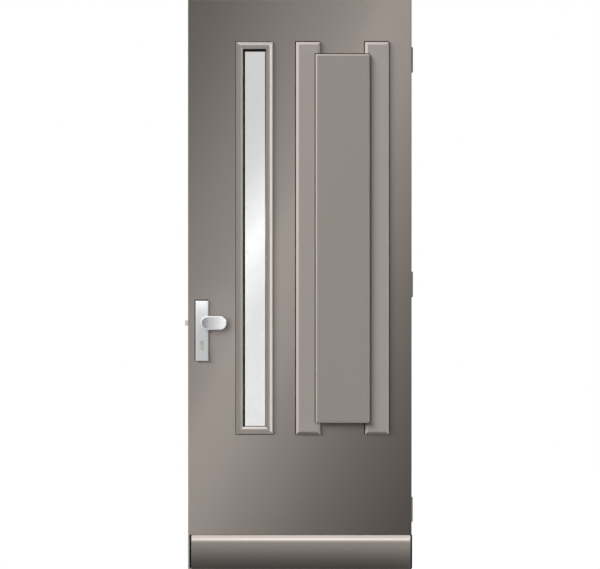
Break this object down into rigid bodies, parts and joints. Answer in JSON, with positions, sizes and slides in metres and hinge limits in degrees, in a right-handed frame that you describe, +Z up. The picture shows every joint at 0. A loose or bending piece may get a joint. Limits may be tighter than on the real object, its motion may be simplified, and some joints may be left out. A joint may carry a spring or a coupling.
{
  "type": "glazed front door",
  "caption": "Insulated front door leaf with a tall narrow glazed light, raised strips and panel, weather bar, backplate with fixed knob, inside lever, lock and butt hinges.",
  "frame": {"origin": "middle of the leaf's bottom edge, halfway through the leaf's thickness", "axes": "+Z up the leaf, +X to the hinge side (right as seen from outside), +Y to the inside"},
  "size_m": [0.849, 0.164, 2.115],
  "materials": {
    "satin_painted_board": "satin taupe paint on board",
    "matt_painted_board": "matt taupe paint on board",
    "painted_timber": "semi-gloss taupe paint on timber",
    "painted_edge_timber": "taupe paint on laminated timber",
    "bare_timber": "planed timber",
    "insulation_foam": "cut foam",
    "clear_glass": "float glass",
    "spacer_aluminium": "mill finish",
    "seal_rubber": "extruded rubber",
    "block_plastic": "moulded plastic",
    "zinc_plated_steel": "zinc plated",
    "satin_hinge_steel": "satin brushed",
    "brushed_aluminium": "brushed and anodised",
    "nickel_plated_brass": "satin nickel plate",
    "faceplate_steel": "satin brushed",
    "lock_steel": "zinc plated and tumbled"
  },
  "bodies": {
    "jamb_hinge_plates": {"hinge_jamb_plate_bottom": "satin_hinge_steel", "hinge_jamb_plate_middle": "satin_hinge_steel", "hinge_jamb_plate_top": "satin_hinge_steel", "hinge_pins": "satin_hinge_steel"},
    "leaf": {"bottom_rail": "painted_edge_timber", "bottom_seal": "seal_rubber", "centre_panel": "matt_painted_board", "cylinder_body": "nickel_plated_brass", "cylinder_screw": "zinc_plated_steel", "faceplate_screws": "zinc_plated_steel", "glass_edge_seal": "seal_rubber", "glass_spacer": "spacer_aluminium", "hinge_leaf_plate_bottom": "satin_hinge_steel", "hinge_leaf_plate_middle": "satin_hinge_steel", "hinge_leaf_plate_top": "satin_hinge_steel", "hinge_screws": "zinc_plated_steel", "hinge_stile": "painted_edge_timber", "inner_backplate": "brushed_aluminium", "inner_gasket": "seal_rubber", "inner_moulding_bottom": "painted_timber", "inner_moulding_left": "painted_timber", "inner_moulding_right": "painted_timber", "inner_moulding_top": "painted_timber", "inner_pane": "clear_glass", "inner_skin": "satin_painted_board", "insulation_core": "insulation_foam", "knob": "brushed_aluminium", "knob_screw": "zinc_plated_steel", "left_strip": "matt_painted_board", "light_trimmer_head": "bare_timber", "light_trimmer_left": "bare_timber", "light_trimmer_right": "bare_timber", "light_trimmer_sill": "bare_timber", "lock_case": "lock_steel", "lock_case_cover": "lock_steel", "lock_faceplate": "faceplate_steel", "lock_stile": "painted_edge_timber", "moulding_screws": "zinc_plated_steel", "outer_backplate": "brushed_aluminium", "outer_gasket": "seal_rubber", "outer_moulding_bottom": "painted_timber", "outer_moulding_left": "painted_timber", "outer_moulding_right": "painted_timber", "outer_moulding_top": "painted_timber", "outer_pane": "clear_glass", "outer_skin": "satin_painted_board", "plate_bolts": "zinc_plated_steel", "right_strip": "matt_painted_board", "setting_blocks": "block_plastic", "top_rail": "painted_edge_timber", "weather_bar": "painted_timber"},
    "lever": {"inside_lever": "brushed_aluminium", "spindle": "lock_steel", "lock_follower": "lock_steel"},
    "latch": {"latch_bolt": "lock_steel"},
    "bolt": {"dead_bolt": "lock_steel"},
    "key_plug": {"cylinder_plug_outer": "nickel_plated_brass", "cylinder_plug_inner": "nickel_plated_brass", "cylinder_cam": "nickel_plated_brass"}
  },
  "joints": [
    {"name": "door_swing", "type": "hinge", "parent": "jamb_hinge_plates", "child": "leaf", "pos_m": [0.4155, 0.034, 1.0575], "axis": [0, 0, -1], "range_deg": [0, 110]},
    {"name": "lever_turn", "type": "hinge", "parent": "leaf", "child": "lever", "pos_m": [-0.3625, 0.05, 0.914], "axis": [0, 1, 0], "range_deg": [0, 38], "stiffness_Nm_per_rad": 1, "springref_deg": -34.38},
    {"name": "latch_slide", "type": "slide", "parent": "leaf", "child": "latch", "axis": [1, 0, 0], "range_m": [0, 0.012]},
    {"name": "key_turn", "type": "hinge", "parent": "leaf", "child": "key_plug", "pos_m": [-0.3625, 0, 0.842], "axis": [0, -1, 0], "range_deg": [0, 360]},
    {"name": "bolt_slide", "type": "slide", "parent": "leaf", "child": "bolt", "axis": [-1, 0, 0], "range_m": [0, 0.02]}
  ],
  "couplings": [
    {"joint": "latch_slide", "follows": "lever_turn", "m_per_rad": 0.018},
    {"joint": "key_turn", "follows": "bolt_slide", "rad_per_m": 314.15}
  ]
}
